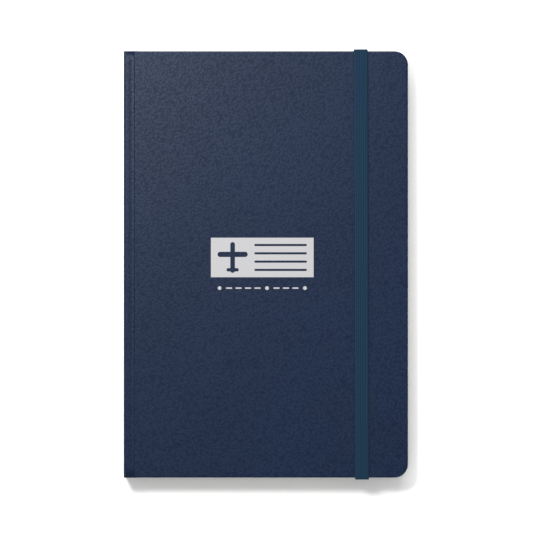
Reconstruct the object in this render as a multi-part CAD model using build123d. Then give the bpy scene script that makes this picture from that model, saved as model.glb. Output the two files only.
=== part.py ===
from build123d import *
import os

# A case-bound pilot logbook, lying on its back cover. Millimetres.
# +X runs from the spine to the fore-edge, +Y to the head, +Z up through the front cover.
# The origin is the middle of the underside.

# ---- the case ----
case_width = 144.0          # outer spine face to fore-edge
case_height = 216.0         # head to tail
fore_corner_radius = 6.8    # rounded corners of both covers at the fore-edge
cover_paper = 0.35          # leather-grained paper that covers the boards
board_thickness = 2.0
board_edge_radius = 0.45    # worn-in roundness of a board's long edges
joint_span = 5.3            # outer spine face to the boards' spine-side edge
groove_depth = 0.5          # how far the cover paper is pressed into each joint
turn_in = 14.0              # covering paper folded over onto the boards' inner faces
spine_board_thickness = 1.0
spine_edge_radius = 1.3     # roundness of the two long spine edges

# ---- the text block ----
section_count = 8
leaves_per_section = 10
leaf_thickness = 0.11
flyleaf_thickness = 0.15
pastedown_thickness = 0.15
square = 3.0                # how far the covers stand out beyond the leaves
leaf_corner_radius = 5.5
fold_radius = 0.4           # roundness of a section's folded edge
spine_lining_thickness = 0.25
lining_margin = 8.0         # spine lining stops this far short of the leaves' head and tail
band_diameter = 1.5         # bead of the headband and tailband
thread_radius = 0.2
kerf_depth = 0.6            # slots across the folds that the sewing thread lies in
kerf_width = 0.8
stitch_pitch = 38.0
stitch_count = 5

# ---- the rear pocket ----
pocket_panel_thickness = 0.35
pocket_gusset_thickness = 0.5   # both folds of a gusset, pressed flat
pocket_gusset_width = 8.0
pocket_half_height = 98.0
pocket_crease_inset = 10.0      # fore-edge to the crease that the panel turns on
pocket_flange_width = 5.0
pocket_mouth_inset = 20.0       # outer spine face to the pocket's mouth

# ---- the elastic closure ----
elastic_width = 7.0
elastic_thickness = 0.9
elastic_inset = 23.6        # fore-edge to the band's centre line
elastic_tab_margin = 1.0    # glued end of the band stops this far short of the turn-in's edge
elastic_turn_share = 0.8    # roundness where the band turns the edges, as a share of its thickness

# ---- the printed mark ----
print_thickness = 0.06
print_width = 52.0
print_height = 20.0
print_shift = -1.8          # panel's centre from the cover's centre, towards the spine
print_rise = 3.5            # panel's centre above the cover's centre
aeroplane_length = 15.6
aeroplane_place = 11.0      # panel's spine-side edge to the aeroplane's centre line
rules_start = 22.0          # panel's spine-side edge to the start of the blank log rules
rules_end_margin = 3.4      # end of the rules to the panel's other edge
rule_count = 4
rule_pitch = 4.2
rule_width = 1.1
route_drop = 15.5           # route line below the panel's centre
route_dash = 3.2
route_gap = 1.6
route_line_width = 0.7
route_stop_radius = 0.95    # dots at both ends and the middle of the route line

# ---- the aeroplane in the mark, as shares of its length ----
fuselage_width = 0.15
wing_span = 0.98
wing_width = 0.17
wing_ahead = 0.1            # wing ahead of the middle
tail_span = 0.4
tail_width = 0.11
tail_behind = 0.4           # tailplane behind the middle

# ---- clearances ----
block_gap = 0.1             # between the text block and what lies above and below it
lining_gap = 0.05
elastic_gap = 0.05
paper_gap = 0.1             # pastedown edge to the turn-in step, and thread to its slot
overshoot = 1.0             # how far a cutting block runs past the face that it opens
tolerance = 1e-3            # heights and places closer than this count as equal

# ---- levels and places that follow from the sizes above ----
x_spine = -case_width / 2
x_fore = case_width / 2
x_board = x_spine + joint_span
half_height = case_height / 2
cover_thickness = 2 * cover_paper + board_thickness
z_inner_back = cover_thickness + pastedown_thickness
pocket_thickness = pocket_gusset_thickness + pocket_panel_thickness
z_block_low = z_inner_back + pocket_thickness + block_gap
section_thickness = leaves_per_section * leaf_thickness
z_sections_low = z_block_low + flyleaf_thickness
z_sections_high = z_sections_low + section_count * section_thickness
z_block_high = z_sections_high + flyleaf_thickness
case_thickness = z_block_high + block_gap + z_inner_back
x_spine_board = x_spine + cover_paper + spine_board_thickness
x_spine_inner = x_spine_board + cover_paper
x_fold = x_spine_inner + lining_gap + spine_lining_thickness
x_leaf_edge = x_fore - square
leaf_half_height = half_height - square
x_elastic = x_fore - elastic_inset
x_crease = x_fore - pocket_crease_inset
x_mouth = x_spine + pocket_mouth_inset
z_run = case_thickness + elastic_gap
y_leg = half_height + elastic_gap
y_tab = half_height - turn_in + elastic_tab_margin


def block(x_low, x_high, y_low, y_high, z_low, z_high):
    """A plain rectangular solid between two corners."""
    size = Box(x_high - x_low, y_high - y_low, z_high - z_low)
    return Pos((x_low + x_high) / 2, (y_low + y_high) / 2, (z_low + z_high) / 2) * size


def sheet(x_low, x_high, half, z_low, z_high, corner):
    """A flat sheet, even about the X axis, with its two fore-edge corners rounded."""
    flat = block(x_low, x_high, -half, half, z_low, z_high)
    return fillet(flat.edges().filter_by(Axis.Z).group_by(Axis.X)[-1], corner)


def soften(solid, z, radius):
    """Rounds the edges round a flat face at height z, except along its spine side."""
    x_low = solid.bounding_box().min.X
    edges = [e for e in solid.edges() if abs(e.center().Z - z) < tolerance]
    return fillet([e for e in edges if e.center().X > x_low + tolerance], radius)


def board():
    """Back cover board, cut to fit inside its covering paper."""
    z_low = cover_paper
    z_high = cover_paper + board_thickness
    radius = fore_corner_radius - cover_paper
    flat = sheet(x_board, x_fore - cover_paper, half_height - cover_paper, z_low, z_high, radius)
    return soften(soften(flat, z_low, board_edge_radius), z_high, board_edge_radius)


def cover_skin(core):
    """Covering paper wrapped round a board's three outer edges and folded onto its inner face."""
    outer = sheet(x_board, x_fore, half_height, 0, cover_thickness, fore_corner_radius)
    outer_radius = board_edge_radius + cover_paper
    outer = soften(soften(outer, 0, outer_radius), cover_thickness, outer_radius)
    window = block(
        x_board - overshoot, x_fore - turn_in, turn_in - half_height, half_height - turn_in,
        cover_thickness - cover_paper, cover_thickness + overshoot,
    )
    return outer - core - window


def pastedown():
    """Endpaper half glued to the cover: it steps down from the turn-ins onto the bare board."""
    z_low = cover_thickness - cover_paper
    z_high = z_low + pastedown_thickness
    edge = half_height - square
    step_x = x_fore - turn_in - paper_gap
    step_y = half_height - turn_in - paper_gap
    upper = sheet(x_board, x_fore - square, edge, cover_thickness, z_inner_back, leaf_corner_radius)
    lower = block(x_board, step_x, -step_y, step_y, z_low, z_inner_back)
    hollow = block(
        x_board - overshoot, step_x - pastedown_thickness, pastedown_thickness - step_y,
        step_y - pastedown_thickness, z_high, z_inner_back + overshoot,
    )
    return upper + lower - hollow


def across(edges, half):
    """Solid made by running a closed XZ profile along Y, even about zero."""
    return extrude(Plane.XZ * make_face(edges), half, both=True)


def joint_strip():
    """Covering paper across a joint, pressed into a shallow groove from head to tail."""
    x_mid = (x_spine_board + x_board) / 2
    z_deep = groove_depth + cover_paper
    outside = ThreePointArc((x_spine_board, 0), (x_mid, groove_depth), (x_board, 0))
    inside = ThreePointArc((x_board, cover_paper), (x_mid, z_deep), (x_spine_board, cover_paper))
    edges = [outside, Line(outside @ 1, inside @ 0), inside, Line(inside @ 1, outside @ 0)]
    return across(edges, half_height)


def to_front(solid):
    """The front cover's copy of a back cover piece."""
    return mirror(solid, about=Plane.XY.offset(case_thickness / 2))


def spine_outline(inset, x_high):
    """Spine cross-section: two rounded outer corners, open ends of the wrap at x_high."""
    x_low = x_spine + inset
    z_low = inset
    z_high = case_thickness - inset
    radius = spine_edge_radius - inset
    bend = radius * (1 - 0.5 ** 0.5)
    lower = ThreePointArc((x_low + radius, z_low), (x_low + bend, z_low + bend), (x_low, z_low + radius))
    upper = ThreePointArc((x_low, z_high - radius), (x_low + bend, z_high - bend), (x_low + radius, z_high))
    return [
        lower,
        Line(lower @ 1, upper @ 0),
        upper,
        Line(upper @ 1, (x_high, z_high)),
        Line((x_high, z_high), (x_high, z_low)),
        Line((x_high, z_low), lower @ 0),
    ]


def spine_board():
    """Stiff strip that stands behind the folds with a hollow between."""
    return across(spine_outline(cover_paper, x_spine_board), half_height - cover_paper)


def spine_skin(core):
    """Covering paper round the spine board, folded in at head and tail."""
    wrap = across(spine_outline(0, x_spine_board), half_height) - core
    fold = block(
        x_spine_board, x_spine_inner, half_height - turn_in, half_height,
        z_inner_back, case_thickness - z_inner_back,
    )
    return wrap + fold + mirror(fold, about=Plane.XZ)


def stitch_places():
    """Y of each sewing station, even about the middle of the spine."""
    return [(i - (stitch_count - 1) / 2) * stitch_pitch for i in range(stitch_count)]


def section(index):
    """One folded section of leaves, counted from the front cover."""
    z_high = z_sections_high - index * section_thickness
    z_low = z_high - section_thickness
    leaves = sheet(x_fold, x_leaf_edge, leaf_half_height, z_low, z_high, leaf_corner_radius)
    leaves = fillet(leaves.edges().filter_by(Axis.Y).group_by(Axis.X)[0], fold_radius)
    slot = block(x_fold - overshoot, x_fold + kerf_depth, -kerf_width / 2, kerf_width / 2, z_low, z_high)
    for y in stitch_places():
        leaves -= Pos(0, y) * slot
    return leaves


def sewing_thread():
    """Threads that tie section to section along the folds, one at each station."""
    x = x_fold + kerf_depth - paper_gap - thread_radius
    length = z_sections_high - z_sections_low
    return [Pos(x, y, (z_sections_low + z_sections_high) / 2) * Cylinder(thread_radius, length)
            for y in stitch_places()]


def spine_lining():
    """Cloth glued over the folds."""
    half = leaf_half_height - lining_margin
    return block(x_fold - spine_lining_thickness, x_fold, -half, half, z_sections_low, z_sections_high)


def end_band():
    """Cloth bead that finishes the folds at the head."""
    radius = band_diameter / 2
    bead = Cylinder(radius, z_block_high - z_block_low)
    middle = (z_block_low + z_block_high) / 2
    return Pos(x_spine_inner + lining_gap + radius, leaf_half_height + radius, middle) * bead


def pocket_panel():
    """Front wall of the rear pocket, closed against its gussets."""
    half = pocket_half_height
    z_low = z_inner_back + pocket_gusset_thickness
    return block(x_mouth, x_crease, -half, half, z_low, z_low + pocket_panel_thickness)


def pocket_flange():
    """Strip past the crease that glues the panel to the cover."""
    half = pocket_half_height
    x_high = x_crease + pocket_flange_width
    return block(x_crease, x_high, -half, half, z_inner_back, z_inner_back + pocket_thickness)


def pocket_gusset():
    """Folded side of the pocket at the head."""
    y_low = pocket_half_height - pocket_gusset_width
    z_high = z_inner_back + pocket_gusset_thickness
    return block(x_mouth, x_crease, y_low, pocket_half_height, z_inner_back, z_high)


def elastic_piece(y_low, y_high, z_low, z_high, spread=0.0):
    """A stretch of the band, as wide as the band plus a spread each side."""
    half = elastic_width / 2 + spread
    return block(x_elastic - half, x_elastic + half, y_low, y_high, z_low, z_high)


def elastic_tab():
    """End of the band at the head, glued in under the pastedown and turned up past the edge."""
    y_high = y_leg + elastic_thickness
    z_low = cover_thickness - elastic_thickness
    return elastic_piece(y_tab, y_high, z_low, cover_thickness)


def elastic_slot():
    """Room for a tab in the back board and its covering paper."""
    z_low = cover_thickness - elastic_thickness
    return elastic_piece(y_tab, half_height + overshoot, z_low, cover_thickness + overshoot)


def elastic_leg():
    """Free stretch of the band up the head edge."""
    return elastic_piece(y_leg, y_leg + elastic_thickness, cover_thickness, z_run)


def elastic_run():
    """Long stretch of the band across the front cover, rounded where it turns the edges."""
    y_end = y_leg + elastic_thickness
    band = elastic_piece(-y_end, y_end, z_run, z_run + elastic_thickness)
    ends = [e for e in band.edges().filter_by(Axis.X) if e.center().Z > z_run + elastic_thickness / 2]
    return fillet(ends, elastic_thickness * elastic_turn_share)


def aeroplane():
    """Plan view of a plain light aeroplane, nose up, as one flat face."""
    size = aeroplane_length
    fuselage = SlotOverall(size, size * fuselage_width, rotation=90)
    wing = Pos(0, size * wing_ahead) * SlotOverall(size * wing_span, size * wing_width)
    tail = Pos(0, -size * tail_behind) * SlotOverall(size * tail_span, size * tail_width)
    return fuselage + wing + tail


def log_rules():
    """Blank log rules beside the aeroplane, one above the other."""
    length = print_width - rules_start - rules_end_margin
    middle = rules_start + length / 2 - print_width / 2
    top = rule_pitch * (rule_count - 1) / 2
    rules = Sketch()
    for row in range(rule_count):
        rules += Pos(middle, top - row * rule_pitch) * SlotOverall(length, rule_width)
    return rules


def route_line():
    """Dashed line with a dot at both ends and in the middle."""
    pitch = route_dash + route_gap
    count = int(print_width // pitch)
    route = Sketch()
    for i in range(count):
        place = Pos((i - (count - 1) / 2) * pitch, -route_drop)
        if i in (0, count // 2, count - 1):
            route += place * Circle(route_stop_radius)
        else:
            route += place * SlotOverall(route_dash, route_line_width)
    return route


def cover_print():
    """Ink of the mark: a panel with the aeroplane and the rules left open, and a route line."""
    panel = Rectangle(print_width, print_height)
    panel -= Pos(aeroplane_place - print_width / 2, 0) * aeroplane()
    panel -= log_rules()
    ink = extrude(panel + route_line(), print_thickness)
    return Pos((x_spine + x_fore) / 2 + print_shift, print_rise, case_thickness) * ink


def write(name, solids):
    """Writes one node to its STEP file."""
    shape = Compound(children=solids) if isinstance(solids, list) else solids
    export_step(shape, os.path.join("parts", name + ".step"))


def main():
    os.makedirs("parts", exist_ok=True)
    core = board()
    skin = cover_skin(core)
    slots = elastic_slot() + mirror(elastic_slot(), about=Plane.XZ)
    write("back_board", core - slots)
    write("back_cover_skin", skin - slots)
    write("back_pastedown", pastedown())
    write("back_joint_skin", joint_strip())
    write("front_board", to_front(core))
    write("front_cover_skin", to_front(skin))
    write("front_pastedown", to_front(pastedown()))
    write("front_joint_skin", to_front(joint_strip()))
    stiffener = spine_board()
    write("spine_board", stiffener)
    write("spine_skin", spine_skin(stiffener))
    write("spine_lining", spine_lining())
    for index in range(section_count):
        write("section_%d" % (index + 1), section(index))
    half = leaf_half_height
    back = sheet(x_fold, x_leaf_edge, half, z_block_low, z_sections_low, leaf_corner_radius)
    front = sheet(x_fold, x_leaf_edge, half, z_sections_high, z_block_high, leaf_corner_radius)
    write("back_flyleaf", back)
    write("front_flyleaf", front)
    write("sewing_thread", sewing_thread())
    for end, turned in (("head", False), ("tail", True)):
        pieces = {
            end + "_band": end_band(),
            "pocket_gusset_" + end: pocket_gusset(),
            "elastic_tab_" + end: elastic_tab(),
            "elastic_leg_" + end: elastic_leg(),
        }
        for name, solid in pieces.items():
            write(name, mirror(solid, about=Plane.XZ) if turned else solid)
    write("pocket_panel", pocket_panel())
    write("pocket_flange", pocket_flange())
    write("elastic_run", elastic_run())
    write("cover_print", cover_print())


main()
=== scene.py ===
import bpy
import math
import random
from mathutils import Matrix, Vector

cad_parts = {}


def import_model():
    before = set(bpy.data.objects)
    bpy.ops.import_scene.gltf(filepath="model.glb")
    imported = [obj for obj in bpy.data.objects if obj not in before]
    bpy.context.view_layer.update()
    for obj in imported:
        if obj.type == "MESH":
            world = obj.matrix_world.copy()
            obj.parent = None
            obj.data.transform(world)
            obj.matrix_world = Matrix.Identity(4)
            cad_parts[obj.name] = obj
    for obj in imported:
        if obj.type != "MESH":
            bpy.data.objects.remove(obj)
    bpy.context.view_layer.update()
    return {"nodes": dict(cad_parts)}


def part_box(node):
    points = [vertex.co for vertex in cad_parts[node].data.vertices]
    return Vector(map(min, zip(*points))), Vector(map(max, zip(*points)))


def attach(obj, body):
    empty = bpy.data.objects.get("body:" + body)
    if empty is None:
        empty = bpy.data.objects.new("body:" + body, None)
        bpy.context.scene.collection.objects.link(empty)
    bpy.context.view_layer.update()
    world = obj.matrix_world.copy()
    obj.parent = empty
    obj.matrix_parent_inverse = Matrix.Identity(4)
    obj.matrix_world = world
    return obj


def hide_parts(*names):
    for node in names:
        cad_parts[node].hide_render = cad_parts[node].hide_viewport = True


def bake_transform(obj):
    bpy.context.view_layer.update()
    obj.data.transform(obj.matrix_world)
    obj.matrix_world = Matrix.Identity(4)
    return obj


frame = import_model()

# Looks of a case-bound pilot logbook. Metres, in the frame's own axes:
# +X from the spine to the fore-edge, +Y to the head, +Z up through the front cover.

MM = 0.001
DRAW = random.Random(7)

# ---- places read from the frame ----
FRONT_LOW, FRONT_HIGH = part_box("front_cover_skin")
BACK_COVER_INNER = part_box("back_cover_skin")[1].z
X_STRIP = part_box("front_joint_skin")[0].x
RUN_LOW, RUN_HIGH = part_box("elastic_run")
LEG_LOW, LEG_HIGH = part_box("elastic_leg_head")
PASTE_LOW, PASTE_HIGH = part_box("front_pastedown")
TOP = FRONT_HIGH.z
HALF = FRONT_HIGH.y
X_FORE = FRONT_HIGH.x
X_BOARD = FRONT_LOW.x
X_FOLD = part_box("section_1")[0].x

# ---- sizes of the book that its pieces share ----
PAPER = 0.35 * MM            # covering paper
TURN_IN = 14.0 * MM
FORE_CORNER = 6.8 * MM
LEAF_CORNER = 5.5 * MM
LEAVES = 10                  # in one section
FOLD_ROUND = 0.25 * MM       # a section's outermost leaves start this much past its fold
TRIM_SLIP = 0.16 * MM        # how far a leaf lies out of line with the next
FLYLEAF_SLIP = 0.1 * MM

# ---- covering paper ----
GRAIN = 1.25 * MM            # one pebble of the leather grain
GRAIN_CONTRAST = 1.7
GRAIN_LEVEL = 0.85
EDGE_ROUND = 0.8 * MM
TURN_IN_RIM = 0.12 * MM
CREASE_IN = 3.6 * MM
FOLD_STEPS = 6               # arc steps of one rounded board edge
SKIRT_OUT = 0.06 * MM        # cover paper down the board's spine edge
SKIRT_DROP = 2.25 * MM
SHOULDER_WIDTH = 2.4 * MM    # where the outer face sinks towards the joint
SHOULDER_DEPTH = 0.03 * MM
LINER_OUT = 0.07 * MM        # joint paper down the spine board's edge
LINER_DROP = 2.8 * MM
STRIP_OVERLAP_SPINE = 0.25 * MM
STRIP_OVERLAP_BOARD = 1.6 * MM
STRIP_SINK = 0.02 * MM
STRIP_SHARE = 0.8            # strip's thickness as a share of the paper's
GROOVE_DEPTH = 0.15 * MM
GROOVE_WIDTH = 1.1 * MM
GROOVE_FROM_BOARD = 1.25 * MM
TUCK_WIDTH = 1.3 * MM        # where the strip slips under the board's edge
TUCK_DEPTH = 0.05 * MM

# ---- elastic band ----
ELASTIC_SKEW = 0.3 * MM
RIBS = 7
RIB_DEPTH = 0.035 * MM
BAND_EDGE = 0.35 * MM        # rounded long edges
STITCH = 0.62 * MM
BAND_HALF = (RUN_HIGH.x - RUN_LOW.x) / 2
BAND_X = (RUN_HIGH.x + RUN_LOW.x) / 2
BAND_THICK = RUN_HIGH.z - RUN_LOW.z
LEG_Y = (LEG_LOW.y + LEG_HIGH.y) / 2
RUN_Z = (RUN_LOW.z + RUN_HIGH.z) / 2
BEND = RUN_Z - RUN_LOW.z

# ---- ruled log table, from the fold and from mid-height ----
ROW_PITCH = 7.0 * MM
ROW_LINE = 0.36 * MM
COLUMN_LINE = 0.5 * MM
TABLE_LEFT = 16.0 * MM
TABLE_RIGHT = 131.0 * MM
TABLE_HALF = 13 * ROW_PITCH
COLUMNS = (0.0, 0.14, 0.32, 0.5, 0.6, 0.7, 0.8, 0.9, 1.0)
HEADING_ROWS = 2
HEADING_TINT = 0.22

# ---- endpapers ----
PASTED_PAPER = 0.13 * MM
PASTED_REST = 0.15 * MM      # what is left of the sink once the paper lies on the board
STEP_WIDTH = 2.2 * MM        # the soft step down from the turn-ins
STEP_BEFORE = 1.2 * MM
PASTED_EDGE = 0.3 * MM
HINGE_PAPER = 0.05 * MM
HINGE_START = 0.05 * MM
HINGE_OVERLAP = 1.2 * MM
HINGE_ABOVE = 0.01 * MM
HINGE_BELOW = 0.06 * MM

# ---- head and tail bands ----
WINDING = 0.45 * MM
WINDING_DEPTH = 0.07         # share of the bead's radius
BAND_END = 0.55              # radius at the bead's very ends, as a share
BAND_TAPER = 9.0             # how fast the radius grows from there, per bead length
STRIPE_PAIR = 0.9 * MM

# ---- rear pocket ----
GUSSET_CLOTH = 0.06 * MM
GUSSET_FOLD_SHAPE = 1.3
GUSSET_STEP = 1.3 * MM       # cloth length between two profile points


# =============================== mesh helpers ===============================

def mesh_object(name, verts, faces, smooth=True, uvs=None):
    """A mesh object from plain lists; uvs holds one pair for each vertex."""
    mesh = bpy.data.meshes.new(name)
    mesh.from_pydata([tuple(v) for v in verts], [], faces)
    mesh.validate()
    mesh.update()
    if uvs:
        layer = mesh.uv_layers.new(name="UVMap")
        for loop in mesh.loops:
            layer.data[loop.index].uv = uvs[loop.vertex_index]
    for polygon in mesh.polygons:
        polygon.use_smooth = smooth
    obj = bpy.data.objects.new(name, mesh)
    bpy.context.scene.collection.objects.link(obj)
    return obj


def strip_faces(rows, columns, close_columns=False):
    """Quads over a grid of vertices stored row by row."""
    faces = []
    last = columns if close_columns else columns - 1
    for r in range(rows - 1):
        low, high = r * columns, (r + 1) * columns
        for c in range(last):
            d = (c + 1) % columns
            faces.append((low + c, low + d, high + d, high + c))
    return faces


def finish_piece(obj, material, body=None, replaces=()):
    """Gives a piece its material, hides the CAD nodes it stands in for and puts it on the body it
    rides on.
    """
    obj.data.materials.append(material)
    if replaces:
        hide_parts(*replaces)
    if body:
        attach(obj, body)
    return obj


# =============================== materials ===============================

class Nodes:
    """Short-hand for building one material's node tree."""

    def __init__(self, name):
        self.material = bpy.data.materials.new(name)
        self.material.use_nodes = True
        self.tree = self.material.node_tree
        self.shader = self.tree.nodes["Principled BSDF"]

    def add(self, kind, **settings):
        node = self.tree.nodes.new(kind)
        for key, value in settings.items():
            setattr(node, key, value)
        return node

    def link(self, source, target):
        self.tree.links.new(source, target)

    def coordinates(self, kind="Object"):
        return self.add("ShaderNodeTexCoord").outputs[kind]

    def scaled(self, vector, scale):
        node = self.add("ShaderNodeMapping")
        node.inputs["Scale"].default_value = scale
        self.link(vector, node.inputs["Vector"])
        return node.outputs["Vector"]

    def noise(self, vector, scale, detail=3.0, roughness=0.55):
        node = self.add("ShaderNodeTexNoise")
        node.inputs["Scale"].default_value = scale
        node.inputs["Detail"].default_value = detail
        node.inputs["Roughness"].default_value = roughness
        self.link(vector, node.inputs["Vector"])
        return node.outputs["Fac"]

    def cells(self, vector, scale, smooth):
        node = self.add("ShaderNodeTexVoronoi", feature="SMOOTH_F1")
        node.inputs["Scale"].default_value = scale
        node.inputs["Smoothness"].default_value = smooth
        self.link(vector, node.inputs["Vector"])
        return node.outputs["Distance"]

    def ramp(self, value, stops):
        node = self.add("ShaderNodeValToRGB")
        ramp = node.color_ramp
        while len(ramp.elements) < len(stops):
            ramp.elements.new(0.5)
        for element, (place, colour) in zip(ramp.elements, stops):
            element.position = place
            element.color = (*colour, 1.0)
        self.link(value, node.inputs["Fac"])
        return node.outputs["Color"]

    def math(self, operation, a, b):
        node = self.add("ShaderNodeMath", operation=operation)
        for socket, value in zip(node.inputs, (a, b)):
            if hasattr(value, "links"):
                self.link(value, socket)
            else:
                socket.default_value = value
        return node.outputs["Value"]

    def mix(self, blend, factor, a, b):
        node = self.add("ShaderNodeMix", data_type="RGBA", blend_type=blend)
        sockets = [s for s in node.inputs if s.enabled]
        for socket, value in zip(sockets, (factor, a, b)):
            if hasattr(value, "links"):
                self.link(value, socket)
            elif isinstance(value, (tuple, list)):
                socket.default_value = (*value, 1.0)
            else:
                socket.default_value = value
        return [s for s in node.outputs if s.enabled][0]

    def bump(self, height, distance, strength):
        node = self.add("ShaderNodeBump")
        node.inputs["Distance"].default_value = distance
        node.inputs["Strength"].default_value = strength
        self.link(height, node.inputs["Height"])
        self.link(node.outputs["Normal"], self.shader.inputs["Normal"])

    def set(self, **values):
        for key, value in values.items():
            self.shader.inputs[key.replace("_", " ")].default_value = value

    def colour(self, source):
        self.link(source, self.shader.inputs["Base Color"])

    def split(self, vector):
        node = self.add("ShaderNodeSeparateXYZ")
        self.link(vector, node.inputs["Vector"])
        return node.outputs


def grey(level):
    return (level, level, level)


def darker(colour, share):
    return tuple(c * share for c in colour)


def leather_height(n, vector):
    """Pebbled grain: soft cells with fine creases between them, broken up by noise."""
    warp = n.add("ShaderNodeTexNoise")
    warp.inputs["Scale"].default_value = 0.35 / GRAIN
    warp.inputs["Detail"].default_value = 2.0
    n.link(vector, warp.inputs["Vector"])
    shift = n.add("ShaderNodeVectorMath", operation="SCALE")
    n.link(warp.outputs["Color"], shift.inputs[0])
    shift.inputs["Scale"].default_value = 0.9 * GRAIN
    moved = n.add("ShaderNodeVectorMath", operation="ADD")
    n.link(vector, moved.inputs[0])
    n.link(shift.outputs["Vector"], moved.inputs[1])
    at = moved.outputs["Vector"]
    pebbles = n.cells(at, 1.0 / GRAIN, 0.35)
    small = n.cells(at, 2.3 / GRAIN, 0.3)
    fine = n.noise(at, 4.5 / GRAIN, 4.0)
    rough = n.math("MULTIPLY", pebbles, 0.62)
    rough = n.math("ADD", rough, n.math("MULTIPLY", small, 0.30))
    return n.math("ADD", n.math("MULTIPLY", rough, -1.0), n.math("MULTIPLY", fine, 0.35))


def leather(name, base, light, coordinates="Object"):
    """Grained covering paper, a little lighter on the grain's high spots."""
    n = Nodes(name)
    vector = n.coordinates(coordinates)
    height = leather_height(n, vector)
    height = n.math("ADD", n.math("MULTIPLY", height, GRAIN_CONTRAST), GRAIN_LEVEL)
    grain = n.ramp(height, [(0.0, base), (1.0, light)])
    drift = n.noise(vector, 22.0, 2.0)
    drift_tone = n.ramp(drift, [(0.3, grey(0.93)), (0.7, grey(1.06))])
    n.colour(n.mix("MULTIPLY", 1.0, grain, drift_tone))
    roughness = n.ramp(height, [(0.0, grey(0.44)), (1.0, grey(0.36))])
    n.link(roughness, n.shader.inputs["Roughness"])
    gloss = n.ramp(height, [(0.0, grey(0.12)), (1.0, grey(0.19))])
    n.link(gloss, n.shader.inputs["Specular IOR Level"])
    n.bump(height, 0.05 * MM, 0.8)
    return n.material


def paper(name, colour, depth=0.02 * MM, coordinates="Object"):
    """Uncoated paper with faint fibres and cloudiness."""
    n = Nodes(name)
    vector = n.coordinates(coordinates)
    clouds = n.noise(vector, 90.0, 3.0)
    fibres = n.noise(n.scaled(vector, (1.0, 3.0, 1.0)), 1400.0, 3.0)
    tone = n.ramp(clouds, [(0.35, darker(colour, 0.965)), (0.65, colour)])
    speck = n.ramp(fibres, [(0.25, (0.97, 0.97, 0.965)), (0.6, grey(1.0))])
    n.colour(n.mix("MULTIPLY", 1.0, tone, speck))
    n.bump(fibres, depth, 0.5)
    n.set(Roughness=0.88, Specular_IOR_Level=0.25)
    return n.material


def elastic_material(name):
    """Woven elastic: UV runs across the band in u (0 to 1) and along it in v (metres)."""
    n = Nodes(name)
    uv = n.coordinates("UV")
    place = n.split(uv)
    across = n.math("MULTIPLY", place["X"], 2 * math.pi * RIBS)
    rib = n.math("SINE", across, 0.0)
    along = n.math("MULTIPLY", place["Y"], 2 * math.pi / STITCH)
    chevron = n.math("MULTIPLY", n.math("ABSOLUTE", rib, 0.0), 2.4)
    stitch = n.math("SINE", n.math("ADD", along, chevron), 0.0)
    height = n.math("ADD", n.math("MULTIPLY", rib, 0.8), n.math("MULTIPLY", stitch, 0.3))
    fuzz = n.noise(n.scaled(uv, (9.0, 1300.0, 1.0)), 3.0, 3.0)
    height = n.math("ADD", height, n.math("MULTIPLY", fuzz, 0.5))
    lightness = n.math("ADD", n.math("MULTIPLY", height, 0.5), 0.4)
    n.colour(n.ramp(lightness, [(0.0, ELASTIC_DARK), (1.0, ELASTIC_LIGHT)]))
    n.bump(height, 0.05 * MM, 0.5)
    n.set(Roughness=0.82, Specular_IOR_Level=0.08, Sheen_Weight=0.03, Sheen_Roughness=0.5)
    return n.material


def card(name, colour):
    """Grey-brown pressed board, seen only at its cut edges."""
    n = Nodes(name)
    vector = n.coordinates()
    layers = n.noise(n.scaled(vector, (60.0, 60.0, 2600.0)), 1.0, 3.0)
    fleck = n.noise(vector, 2400.0, 2.0)
    tone = n.ramp(layers, [(0.3, darker(colour, 0.78)), (0.7, colour)])
    spots = n.ramp(fleck, [(0.3, grey(0.86)), (0.55, grey(1.0))])
    n.colour(n.mix("MULTIPLY", 1.0, tone, spots))
    n.bump(fleck, 0.05 * MM, 0.6)
    n.set(Roughness=0.9, Specular_IOR_Level=0.2)
    return n.material


def cloth(name, colour, pitch=0.5 * MM, coordinates="Object"):
    """Plain woven cloth: two crossing sets of threads."""
    n = Nodes(name)
    vector = n.coordinates(coordinates)
    place = n.split(vector)
    turns = 2 * math.pi / pitch
    side = n.math("ADD", place["X"], place["Z"])
    warp = n.math("SINE", n.math("MULTIPLY", side, turns), 0.0)
    weft = n.math("SINE", n.math("MULTIPLY", place["Y"], turns), 0.0)
    weave = n.math("MULTIPLY", warp, weft)
    fuzz = n.noise(vector, 3200.0, 2.0)
    height = n.math("ADD", n.math("MULTIPLY", weave, 0.5), fuzz)
    n.colour(n.ramp(height, [(0.1, darker(colour, 0.72)), (0.9, colour)]))
    n.bump(height, 0.06 * MM, 0.6)
    n.set(Roughness=0.9, Specular_IOR_Level=0.15, Sheen_Weight=0.2)
    return n.material


def ink(name, colour):
    """Opaque print that follows the grain under it and thins a little in the creases."""
    n = Nodes(name)
    height = leather_height(n, n.coordinates())
    n.colour(n.ramp(height, [(0.0, darker(colour, 0.86)), (0.5, colour)]))
    n.bump(height, 0.1 * MM, 0.3)
    n.set(Roughness=0.6, Specular_IOR_Level=0.3)
    return n.material


# Colours, linear RGB.
COVER_DARK = (0.0015, 0.0075, 0.0258)
COVER_LIGHT = (0.0060, 0.0150, 0.0395)
ELASTIC_DARK = (0.0026, 0.0112, 0.025)
ELASTIC_LIGHT = (0.0098, 0.0320, 0.060)
ENDPAPER = (0.47, 0.45, 0.39)
LEAF_PAPER = (0.50, 0.475, 0.405)
BOARD_CARD = (0.30, 0.27, 0.215)
INK_GREY = (0.39, 0.39, 0.40)
LINING_CLOTH = (0.70, 0.68, 0.62)
GUSSET_NAVY = (0.035, 0.055, 0.10)
THREAD_PALE = (0.80, 0.78, 0.72)
BAND_NAVY = (0.05, 0.085, 0.16)
BAND_PALE = (0.72, 0.70, 0.64)
RULE_BLUE = (0.07, 0.13, 0.21)

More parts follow.
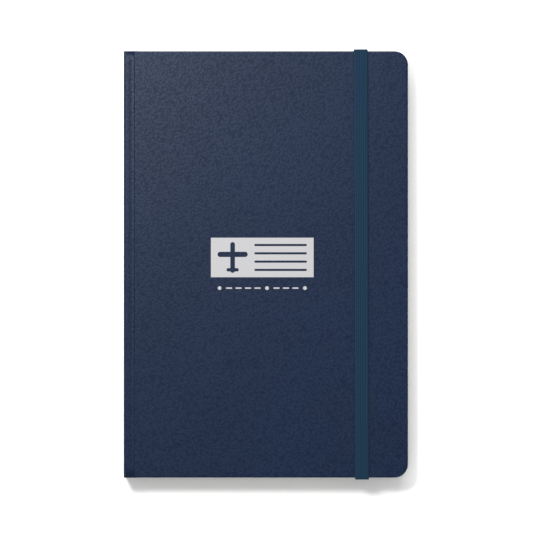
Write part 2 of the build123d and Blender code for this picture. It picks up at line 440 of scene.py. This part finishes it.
MAT_COVER = leather("cover_leather", COVER_DARK, COVER_LIGHT)
MAT_JOINT = leather("joint_leather", COVER_DARK, COVER_LIGHT, "UV")
MAT_ELASTIC = elastic_material("elastic_weave")
MAT_ENDPAPER = paper("endpaper", ENDPAPER)
MAT_ENDPAPER_UV = paper("endpaper_hinge", ENDPAPER, coordinates="UV")
MAT_BOARD = card("board_card", BOARD_CARD)
MAT_LINING = cloth("lining_cloth", LINING_CLOTH)
MAT_GUSSET = cloth("gusset_cloth", GUSSET_NAVY, coordinates="UV")
MAT_THREAD = cloth("sewing_thread", THREAD_PALE, 0.15 * MM)
MAT_INK = ink("print_ink", INK_GREY)


# =============================== covers ===============================

def outline(inset, x_low, x_high, half, corner, steps=10, edge=14):
    """Points round three sides, moved in by inset, from the tail's spine end to the head's."""
    radius = max(corner - inset, 0.0)
    centre_x = x_high - max(corner, inset)
    centre_y = half - max(corner, inset)
    places = [x_low + (centre_x - x_low) * (i / edge) ** 2 for i in range(edge)]
    tail = [(x, -(half - inset)) for x in places]
    for i in range(steps + 1):
        turn = math.pi / 2 * i / steps
        tail.append((centre_x + radius * math.sin(turn), -(centre_y + radius * math.cos(turn))))
    head = [(x, -y) for x, y in reversed(tail)]
    return tail + head


def wrap_profile(thickness):
    """Inset and height of the covering paper, from the turn-in, round the edge, to the front."""
    flat = (TURN_IN, TURN_IN - TURN_IN_RIM, CREASE_IN, EDGE_ROUND * 1.6)
    points = [(inset, 0.0) for inset in flat]
    arc = [math.pi / 2 * i / FOLD_STEPS for i in range(FOLD_STEPS + 1)]
    for turn in arc:
        points.append((EDGE_ROUND * (1 - math.sin(turn)), EDGE_ROUND * (1 - math.cos(turn))))
    for turn in arc:
        rise = thickness - EDGE_ROUND * (1 - math.sin(turn))
        points.append((EDGE_ROUND * (1 - math.cos(turn)), rise))
    points.append((EDGE_ROUND * 1.5, thickness))
    return points


def shoulder_drop(x):
    """How far the outer face sinks beside the joint, and down the board's spine edge past it."""
    if x < X_BOARD:
        return SKIRT_DROP
    t = min((x - X_BOARD) / SHOULDER_WIDTH, 1.0)
    return SHOULDER_DEPTH * (1 - math.sin(t * math.pi / 2)) ** 1.5


def smooth_step(t):
    t = min(max(t, 0.0), 1.0)
    return t * t * (3 - 2 * t)


def close_sheet(outer, rows, columns):
    """Faces of a thin closed sheet: its outer face, the inner one after it, and the rim."""
    count = rows * columns
    inner = [tuple(v + count for v in reversed(f)) for f in outer]
    rim = list(range(columns)) + [r * columns + columns - 1 for r in range(1, rows)]
    rim += [(rows - 1) * columns + i for i in range(columns - 2, -1, -1)]
    rim += [r * columns for r in range(rows - 2, 0, -1)]
    sides = []
    for k, a in enumerate(rim):
        b = rim[(k + 1) % len(rim)]
        sides.append((b, a, a + count, b + count))
    return outer + inner + sides


def cover(name, z_inner, direction, body, nodes):
    """Covering paper of one cover, wrapped over three edges. direction is +1 for the front."""
    thickness = FRONT_HIGH.z - FRONT_LOW.z
    profile = wrap_profile(thickness)
    rings = []
    for inset, _ in profile:
        ring = outline(inset, X_BOARD, X_FORE, HALF, FORE_CORNER)
        (x_tail, y_tail), (x_head, y_head) = ring[0], ring[-1]
        rings.append([(x_tail - SKIRT_OUT, y_tail)] + ring + [(x_head - SKIRT_OUT, y_head)])
    columns = len(rings[0])
    verts = []
    for (_, height), ring in zip(profile, rings):
        for x, y in ring:
            rise = height
            if height > thickness / 2:
                rise -= shoulder_drop(x) * (height / thickness)
            verts.append((x, y, z_inner + direction * rise))
    faces = strip_faces(len(profile), columns)
    top = (len(profile) - 1) * columns
    for i in range(columns // 2 - 1):
        faces.append((top + i, top + i + 1, top + columns - 2 - i, top + columns - 1 - i))
    if direction < 0:
        faces = [tuple(reversed(f)) for f in faces]
    obj = mesh_object(name, verts, faces)
    return finish_piece(obj, MAT_COVER, body, nodes)


def groove_dip(x):
    """How far the joint's paper lies below the cover's outer face."""
    groove = GROOVE_DEPTH * math.exp(-((x - X_BOARD + GROOVE_FROM_BOARD) / GROOVE_WIDTH) ** 2)
    tuck = TUCK_DEPTH * smooth_step((x - X_BOARD + TUCK_WIDTH) / TUCK_WIDTH)
    return groove + tuck + STRIP_SINK


def joint(name, z_outer, direction, node):
    """Covering paper across a joint, from the spine board's edge to under the cover's paper."""
    x_low = X_STRIP - STRIP_OVERLAP_SPINE
    x_high = X_BOARD + STRIP_OVERLAP_BOARD
    liner = (LINER_DROP, LINER_DROP / 2, PAPER)
    across = 30
    along = 46
    verts = []
    uvs = []
    for side in (0, 1):
        for j in range(along + 1):
            y = -HALF + 2 * HALF * j / along
            for drop in liner:
                verts.append((X_STRIP + LINER_OUT * (1 + side), y, z_outer - direction * drop))
                uvs.append((X_STRIP - drop, y))
            for i in range(across + 1):
                x = x_low + (x_high - x_low) * i / across
                z = z_outer - direction * (groove_dip(x) + side * PAPER * STRIP_SHARE)
                verts.append((x, y, z))
                uvs.append((x, y))
    columns = len(liner) + across + 1
    faces = close_sheet(strip_faces(along + 1, columns), along + 1, columns)
    if direction < 0:
        faces = [tuple(reversed(f)) for f in faces]
    obj = mesh_object(name, verts, faces, uvs=uvs)
    finish_piece(obj, MAT_JOINT, replaces=(node,))
    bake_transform(obj)


cover("front_cover_wrap", FRONT_LOW.z, 1, "front_cover", ("front_cover_skin",))
cover("back_cover_wrap", BACK_COVER_INNER, -1, "back_cover", ("back_cover_skin",))
joint("front_joint_wrap", TOP, 1, "front_joint_skin")
joint("back_joint_wrap", 0.0, -1, "back_joint_skin")


# =============================== CAD nodes that keep their shape ===============================

def carry(node, material):
    """A CAD node keeps its shape and takes a better material."""
    obj = frame["nodes"][node]
    obj.data.materials.clear()
    obj.data.materials.append(material)


carry("spine_skin", MAT_COVER)
carry("spine_board", MAT_BOARD)
carry("front_board", MAT_BOARD)
carry("back_board", MAT_BOARD)
carry("spine_lining", MAT_LINING)
carry("sewing_thread", MAT_THREAD)
carry("cover_print", MAT_INK)


# =============================== pages and endpapers ===============================

def ruled_paper(name, colour, line):
    """Leaf paper ruled as a blank log table. UV is the distance from the fold and mid-height."""
    n = Nodes(name)
    uv = n.coordinates("UV")
    place = n.split(uv)
    x, y = place["X"], place["Y"]
    clouds = n.noise(uv, 90.0, 3.0)
    fibres = n.noise(uv, 1500.0, 3.0)
    tone = n.ramp(clouds, [(0.35, darker(colour, 0.965)), (0.65, colour)])

    def near(value, centre, half_width):
        away = n.math("ABSOLUTE", n.math("SUBTRACT", value, centre), 0.0)
        return n.math("LESS_THAN", away, half_width)

    def between(value, low, high):
        above = n.math("GREATER_THAN", value, low)
        return n.math("MULTIPLY", above, n.math("LESS_THAN", value, high))

    rows = n.math("PINGPONG", n.math("ADD", y, ROW_PITCH * 200), ROW_PITCH / 2)
    row_lines = n.math("LESS_THAN", rows, ROW_LINE / 2)
    table_x = between(x, TABLE_LEFT, TABLE_RIGHT)
    table_y = between(y, -TABLE_HALF, TABLE_HALF)
    mask = n.math("MULTIPLY", n.math("MULTIPLY", row_lines, table_x), table_y)
    for share in COLUMNS:
        x_line = TABLE_LEFT + (TABLE_RIGHT - TABLE_LEFT) * share
        column = n.math("MULTIPLY", near(x, x_line, COLUMN_LINE / 2), table_y)
        mask = n.math("MAXIMUM", mask, column)
    top_rows = between(y, TABLE_HALF - HEADING_ROWS * ROW_PITCH, TABLE_HALF)
    heading = n.math("MULTIPLY", table_x, top_rows)
    mask = n.math("MAXIMUM", mask, n.math("MULTIPLY", heading, HEADING_TINT))
    n.colour(n.mix("MIX", mask, tone, line))
    n.bump(fibres, 0.015 * MM, 0.5)
    n.set(Roughness=0.88, Specular_IOR_Level=0.25)
    return n.material


MAT_RULED = ruled_paper("ruled_leaf", LEAF_PAPER, RULE_BLUE)


def leaves(name, node, count, material, slot_name, jitter):
    """Thin leaves filling the box of one node, each a little out of line with the next."""
    low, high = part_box(node)
    pitch = (high.z - low.z) / count
    gap = pitch * 0.1
    verts = []
    faces = []
    uvs = []
    for i in range(count):
        slip_x = DRAW.uniform(-jitter, 0.0)
        slip_y = DRAW.uniform(-jitter, jitter) * 0.5
        fold = abs(i - (count - 1) / 2) / max(count / 2, 1) * FOLD_ROUND
        half = high.y - jitter * 0.5
        ring = outline(0.0, low.x + fold, high.x + slip_x, half, LEAF_CORNER, steps=8, edge=30)
        z_low = low.z + i * pitch + gap
        z_high = low.z + (i + 1) * pitch - gap
        base = len(verts)
        columns = len(ring)
        for z in (z_low, z_high):
            for x, y in ring:
                verts.append((x, y + slip_y, z))
                uvs.append((x - X_FOLD, y))
        faces += [tuple(base + v for v in f) for f in strip_faces(2, columns)]
        faces.append((base + columns - 1, base, base + columns, base + 2 * columns - 1))
        for k in range(columns // 2 - 1):
            quad = (k, k + 1, columns - 2 - k, columns - 1 - k)
            faces.append(tuple(base + columns + v for v in quad))
            faces.append(tuple(base + v for v in reversed(quad)))
    obj = mesh_object(name, verts, faces, smooth=False, uvs=uvs)
    return finish_piece(obj, material, replaces=(node,))


def place_leaves(obj, body):
    """Leaves that turn are baked in place and left off any body; the others ride on the block."""
    if body:
        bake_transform(obj)
    else:
        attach(obj, "text_block")


TURNING_SECTIONS = {1: "pages_1", 2: "pages_2", 3: "pages_3"}
for number in range(1, 9):
    names = ("leaves_%d" % number, "section_%d" % number)
    stack = leaves(*names, LEAVES, MAT_RULED, "leaves", TRIM_SLIP)
    place_leaves(stack, TURNING_SECTIONS.get(number))

for side, body in (("front", "flyleaf"), ("back", None)):
    names = ("flyleaf_" + side, side + "_flyleaf")
    leaf = leaves(*names, 1, MAT_ENDPAPER_UV, "endpaper", FLYLEAF_SLIP)
    place_leaves(leaf, body)


def pasted(name, node, direction, body):
    """Endpaper glued to a cover: it sinks softly from the turn-ins onto the board."""
    low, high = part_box(node)
    sink = (high.z - low.z) - PASTED_REST
    face = low.z if direction > 0 else high.z
    step = TURN_IN - (X_FORE - high.x)
    insets = [0.0, PASTED_EDGE, step - STEP_BEFORE]
    insets += [step - STEP_BEFORE + STEP_WIDTH * (i + 1) / 8 for i in range(8)]
    rings = [outline(inset, low.x, high.x, high.y, LEAF_CORNER) for inset in insets]
    verts = []
    for side in (0, 1):
        for inset, ring in zip(insets, rings):
            drop = sink * smooth_step((inset - step + STEP_BEFORE) / STEP_WIDTH)
            for x, y in ring:
                verts.append((x, y, face + direction * (drop + side * PASTED_PAPER)))
    columns = len(rings[0])
    rows = len(insets)
    count = rows * columns
    faces = strip_faces(rows, columns)
    inner = (rows - 1) * columns
    faces += [(inner + i, inner + i + 1, inner + columns - 2 - i, inner + columns - 1 - i)
              for i in range(columns // 2 - 1)]
    back = [tuple(v + count for v in reversed(f)) for f in faces]
    rim = [(i + 1, i, i + count, i + 1 + count) for i in range(columns - 1)]
    faces = faces + back + rim
    if direction > 0:
        faces = [tuple(reversed(f)) for f in faces]
    obj = mesh_object(name, verts, faces)
    return finish_piece(obj, MAT_ENDPAPER, body, (node,))


pasted("pastedown_front", "front_pastedown", 1, "front_cover")
pasted("pastedown_back", "back_pastedown", -1, "back_cover")


def paper_hinge(name, z_block, z_cover):
    """Endpaper where it crosses a joint: a strip along Y from the block to a cover."""
    x_low = X_FOLD + HINGE_START
    x_high = X_BOARD + HINGE_OVERLAP
    half = PASTE_HIGH.y
    across = 24
    verts = []
    uvs = []
    for side in (0, 1):
        for i in range(across + 1):
            t = i / across
            x = x_low + (x_high - x_low) * t
            z = z_block + (z_cover - z_block) * smooth_step(t) + side * HINGE_PAPER
            for y in (-half, half):
                verts.append((x, y, z))
                uvs.append((x, y))
    count = (across + 1) * 2
    upper = strip_faces(across + 1, 2)
    lower = [tuple(v + count for v in reversed(f)) for f in upper]
    faces = upper + lower
    rim = [2 * i for i in range(across + 1)] + [2 * i + 1 for i in range(across, -1, -1)]
    for k, a in enumerate(rim):
        b = rim[(k + 1) % len(rim)]
        faces.append((a, b, b + count, a + count))
    obj = mesh_object(name, verts, faces, uvs=uvs)
    finish_piece(obj, MAT_ENDPAPER_UV)
    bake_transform(obj)


fly_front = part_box("front_flyleaf")[1].z + HINGE_ABOVE
fly_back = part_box("back_flyleaf")[0].z - HINGE_BELOW
paste_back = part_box("back_pastedown")[1].z + HINGE_ABOVE
paper_hinge("endpaper_hinge_front", fly_front, PASTE_LOW.z - HINGE_BELOW)
paper_hinge("endpaper_hinge_back", fly_back, paste_back)


# =============================== head and tail bands ===============================

def stripes(name, first, second, pitch):
    """Two colours of thread wound round a bead, in turn along Z."""
    n = Nodes(name)
    vector = n.coordinates()
    turns = n.math("MULTIPLY", n.split(vector)["Z"], 2 * math.pi / pitch)
    wave = n.math("SINE", turns, 0.0)
    share = n.math("ADD", n.math("MULTIPLY", wave, 0.5), 0.5)
    tone = n.ramp(share, [(0.46, first), (0.54, second)])
    fuzz = n.noise(vector, 5000.0, 2.0)
    n.colour(tone)
    n.bump(fuzz, 0.05 * MM, 0.5)
    n.set(Roughness=0.8, Specular_IOR_Level=0.25, Sheen_Weight=0.2)
    return n.material


MAT_BAND = stripes("end_band_thread", BAND_NAVY, BAND_PALE, STRIPE_PAIR)


def end_band(name, node):
    """Thread-wound bead over the folds at one end of the spine."""
    low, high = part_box(node)
    centre_x = (low.x + high.x) / 2
    centre_y = (low.y + high.y) / 2
    radius = (high.x - low.x) / 2
    around = 20
    length = high.z - low.z
    rows = 90
    verts = []
    for r in range(rows + 1):
        z = low.z + length * r / rows
        dip = 0.5 - 0.5 * math.cos(2 * math.pi * (z - low.z) / WINDING)
        bulge = 1.0 - WINDING_DEPTH * dip
        taper = min(1.0, BAND_END + BAND_TAPER * min(r, rows - r) / rows)
        for k in range(around):
            turn = 2 * math.pi * k / around
            reach = radius * bulge * taper
            x = centre_x + reach * math.cos(turn)
            verts.append((x, centre_y + reach * math.sin(turn), z))
    faces = strip_faces(rows + 1, around, True)
    faces.append(tuple(reversed(range(around))))
    faces.append(tuple(rows * around + k for k in range(around)))
    obj = mesh_object(name, verts, faces)
    return finish_piece(obj, MAT_BAND, "text_block", (node,))


end_band("headband_winding", "head_band")
end_band("tailband_winding", "tail_band")


# =============================== elastic band ===============================

def band_section():
    """Cross-section of the band as (across, out, u): ribbed faces and rounded edges."""
    points = []
    half_thick = BAND_THICK / 2
    flat = BAND_HALF - BAND_EDGE
    steps = 54
    for side in (1, -1):
        for i in range(steps + 1):
            t = i / steps
            across = (t - 0.5) * 2 * flat
            rib = RIB_DEPTH * (math.cos(2 * math.pi * RIBS * t) - 1.0)
            points.append((side * across, side * (half_thick + rib), t if side > 0 else 1 - t))
        for i in range(1, 5):
            turn = math.pi / 5 * i
            across = flat + BAND_EDGE * math.sin(turn)
            out = half_thick * math.cos(turn)
            points.append((side * across, side * out, 1.0 if side > 0 else 0.0))
    return points


def sweep_band(name, path):
    """The band along a path of (y, z, out_y, out_z)."""
    section = band_section()
    columns = len(section)
    verts = []
    uvs = []
    travelled = 0.0
    for i, (y, z, out_y, out_z) in enumerate(path):
        if i:
            travelled += math.hypot(y - path[i - 1][0], z - path[i - 1][1])
        lean = -ELASTIC_SKEW * y / HALF
        for across, out, u in section:
            verts.append((BAND_X + lean + across, y + out * out_y, z + out * out_z))
            uvs.append((u, travelled))
    faces = strip_faces(len(path), columns, True)
    faces.append(tuple(range(columns - 1, -1, -1)))
    faces.append(tuple((len(path) - 1) * columns + k for k in range(columns)))
    obj = mesh_object(name, verts, faces, uvs=uvs)
    return finish_piece(obj, MAT_ELASTIC)


def turn_points(centre_y, centre_z, first, last, steps=8):
    """Path points where the band turns a corner in the YZ plane; angles in degrees from +Y."""
    points = []
    for i in range(steps + 1):
        a = math.radians(first + (last - first) * i / steps)
        out_y, out_z = math.cos(a), math.sin(a)
        points.append((centre_y + BEND * out_y, centre_z + BEND * out_z, out_y, out_z))
    return points


def elastic_run():
    """Long stretch over the front cover, with its two turned ends."""
    head = turn_points(LEG_Y - BEND, RUN_Z - BEND, 0, 90)
    span = 2 * (LEG_Y - BEND)
    middle = [(LEG_Y - BEND - span * i / 60, RUN_Z, 0.0, 1.0) for i in range(1, 60)]
    tail = turn_points(-(LEG_Y - BEND), RUN_Z - BEND, 90, 180)
    obj = sweep_band("elastic_over_cover", head + middle + tail)
    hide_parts("elastic_run")
    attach(obj, "elastic_run")


def elastic_leg(edge, sign):
    """Stretch up one end of the book, between the glued end and the long stretch."""
    steps = 24
    rises = [LEG_LOW.z + (RUN_LOW.z - LEG_LOW.z) * i / steps for i in range(steps + 1)]
    path = [(sign * LEG_Y, z, sign * 1.0, 0.0) for z in rises]
    if sign < 0:
        path.reverse()
    obj = sweep_band("elastic_side_" + edge, path)
    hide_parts("elastic_leg_" + edge)
    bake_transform(obj)


def elastic_end(edge, sign):
    """Glued end: out from under the endpaper and up past the board's edge."""
    low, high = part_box("elastic_tab_" + edge)
    y_in = low.y if sign > 0 else -high.y
    z_mid = (low.z + high.z) / 2
    flat = [(y_in + (LEG_Y - BEND - y_in) * i / 6, z_mid, 0.0, -1.0) for i in range(7)]
    bend = turn_points(LEG_Y - BEND, z_mid + BEND, -90, 0)[1:]
    path = [(sign * y, z, sign * oy, oz) for y, z, oy, oz in flat + bend]
    obj = sweep_band("elastic_glued_" + edge, path)
    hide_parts("elastic_tab_" + edge)
    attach(obj, "back_cover")


elastic_run()
for edge, sign in (("head", 1), ("tail", -1)):
    elastic_leg(edge, sign)
    elastic_end(edge, sign)


# =============================== rear pocket ===============================

MAT_POCKET = paper("pocket_card", darker(ENDPAPER, 0.985), 0.03 * MM)
carry("pocket_panel", MAT_POCKET)
carry("pocket_flange", MAT_POCKET)


def gusset(edge, sign):
    """Cloth side of the pocket, folded inwards once and pressed flat."""
    low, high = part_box("pocket_gusset_" + edge)
    outer_y = high.y if sign > 0 else -low.y
    inner_y = outer_y - (high.y - low.y)
    z_low = low.z + GUSSET_CLOTH
    z_high = high.z - GUSSET_CLOTH
    steps = 12
    profile = []
    for i in range(steps + 1):
        t = i / steps
        fold = 1.0 - abs(2 * t - 1.0)
        y = outer_y - (outer_y - inner_y) * (1 - (1 - fold) ** GUSSET_FOLD_SHAPE)
        profile.append((y, z_low + (z_high - z_low) * t))
    rows = 40
    verts = []
    uvs = []
    for side in (-1, 1):
        for r in range(rows + 1):
            x = low.x + (high.x - low.x) * r / rows
            for i, (y, z) in enumerate(profile):
                lift = side * GUSSET_CLOTH * 0.5 * (1.0 if i <= steps // 2 else -1.0)
                verts.append((x, sign * y, z + lift))
                uvs.append((x, i * GUSSET_STEP))
    columns = len(profile)
    faces = close_sheet(strip_faces(rows + 1, columns), rows + 1, columns)
    obj = mesh_object("pocket_side_" + edge, verts, faces, uvs=uvs)
    finish_piece(obj, MAT_GUSSET, replaces=("pocket_gusset_" + edge,))
    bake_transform(obj)


gusset("head", 1)
gusset("tail", -1)


# =============================== floor, light and camera ===============================

VIEW_WIDTH = 269.8 * MM
CAMERA_HEIGHT = 1.6
SENSOR = 36.0
AIM_X = 0.35 * MM
AIM_Y = -1.07 * MM
FLOOR_HALF = 3.0
FLOOR_Z = -0.02 * MM
FLOOR_GREY = 0.97
WORLD_LIGHT = 0.70
KEY_PLACE = (0.0, 0.80, 0.86)
KEY_SIZE = (0.7, 0.6)
KEY_POWER = 8.5
SHEEN_PLACE = (-0.235, 0.265, 0.70)     # its mirror image lies just past the cover's spine corner
SHEEN_SIZE = (0.16, 0.16)
SHEEN_POWER = 4.9


def floor():
    n = Nodes("floor_white")
    n.set(Base_Color=(*grey(FLOOR_GREY), 1.0), Roughness=0.9, Specular_IOR_Level=0.1)
    corners = ((-1, -1), (1, -1), (1, 1), (-1, 1))
    verts = [(x * FLOOR_HALF, y * FLOOR_HALF, FLOOR_Z) for x, y in corners]
    obj = mesh_object("floor", verts, [(0, 1, 2, 3)], smooth=False)
    obj.data.materials.append(n.material)


def area_light(name, place, size, power):
    """A soft rectangular light aimed at the frame's origin."""
    data = bpy.data.lights.new(name, "AREA")
    data.shape = "RECTANGLE"
    data.size, data.size_y = size
    data.energy = power
    obj = bpy.data.objects.new(name, data)
    obj.location = place
    aim = Vector((0.0, 0.0, 0.0)) - Vector(place)
    obj.rotation_euler = aim.to_track_quat("-Z", "Y").to_euler()
    bpy.context.scene.collection.objects.link(obj)


def camera():
    data = bpy.data.cameras.new("camera")
    data.sensor_width = SENSOR
    data.lens = SENSOR * CAMERA_HEIGHT / VIEW_WIDTH
    data.clip_start = 0.05
    data.clip_end = 20.0
    obj = bpy.data.objects.new("camera", data)
    obj.location = (AIM_X, AIM_Y, TOP + CAMERA_HEIGHT)
    obj.rotation_euler = (0.0, 0.0, 0.0)
    bpy.context.scene.collection.objects.link(obj)
    bpy.context.scene.camera = obj


def world():
    made = bpy.data.worlds.new("studio")
    made.use_nodes = True
    background = made.node_tree.nodes["Background"]
    background.inputs["Color"].default_value = (1.0, 1.0, 1.0, 1.0)
    background.inputs["Strength"].default_value = WORLD_LIGHT
    bpy.context.scene.world = made


floor()
camera()
world()
area_light("key", KEY_PLACE, KEY_SIZE, KEY_POWER)
area_light("sheen_light", SHEEN_PLACE, SHEEN_SIZE, SHEEN_POWER)
bpy.context.scene.view_settings.view_transform = "Standard"
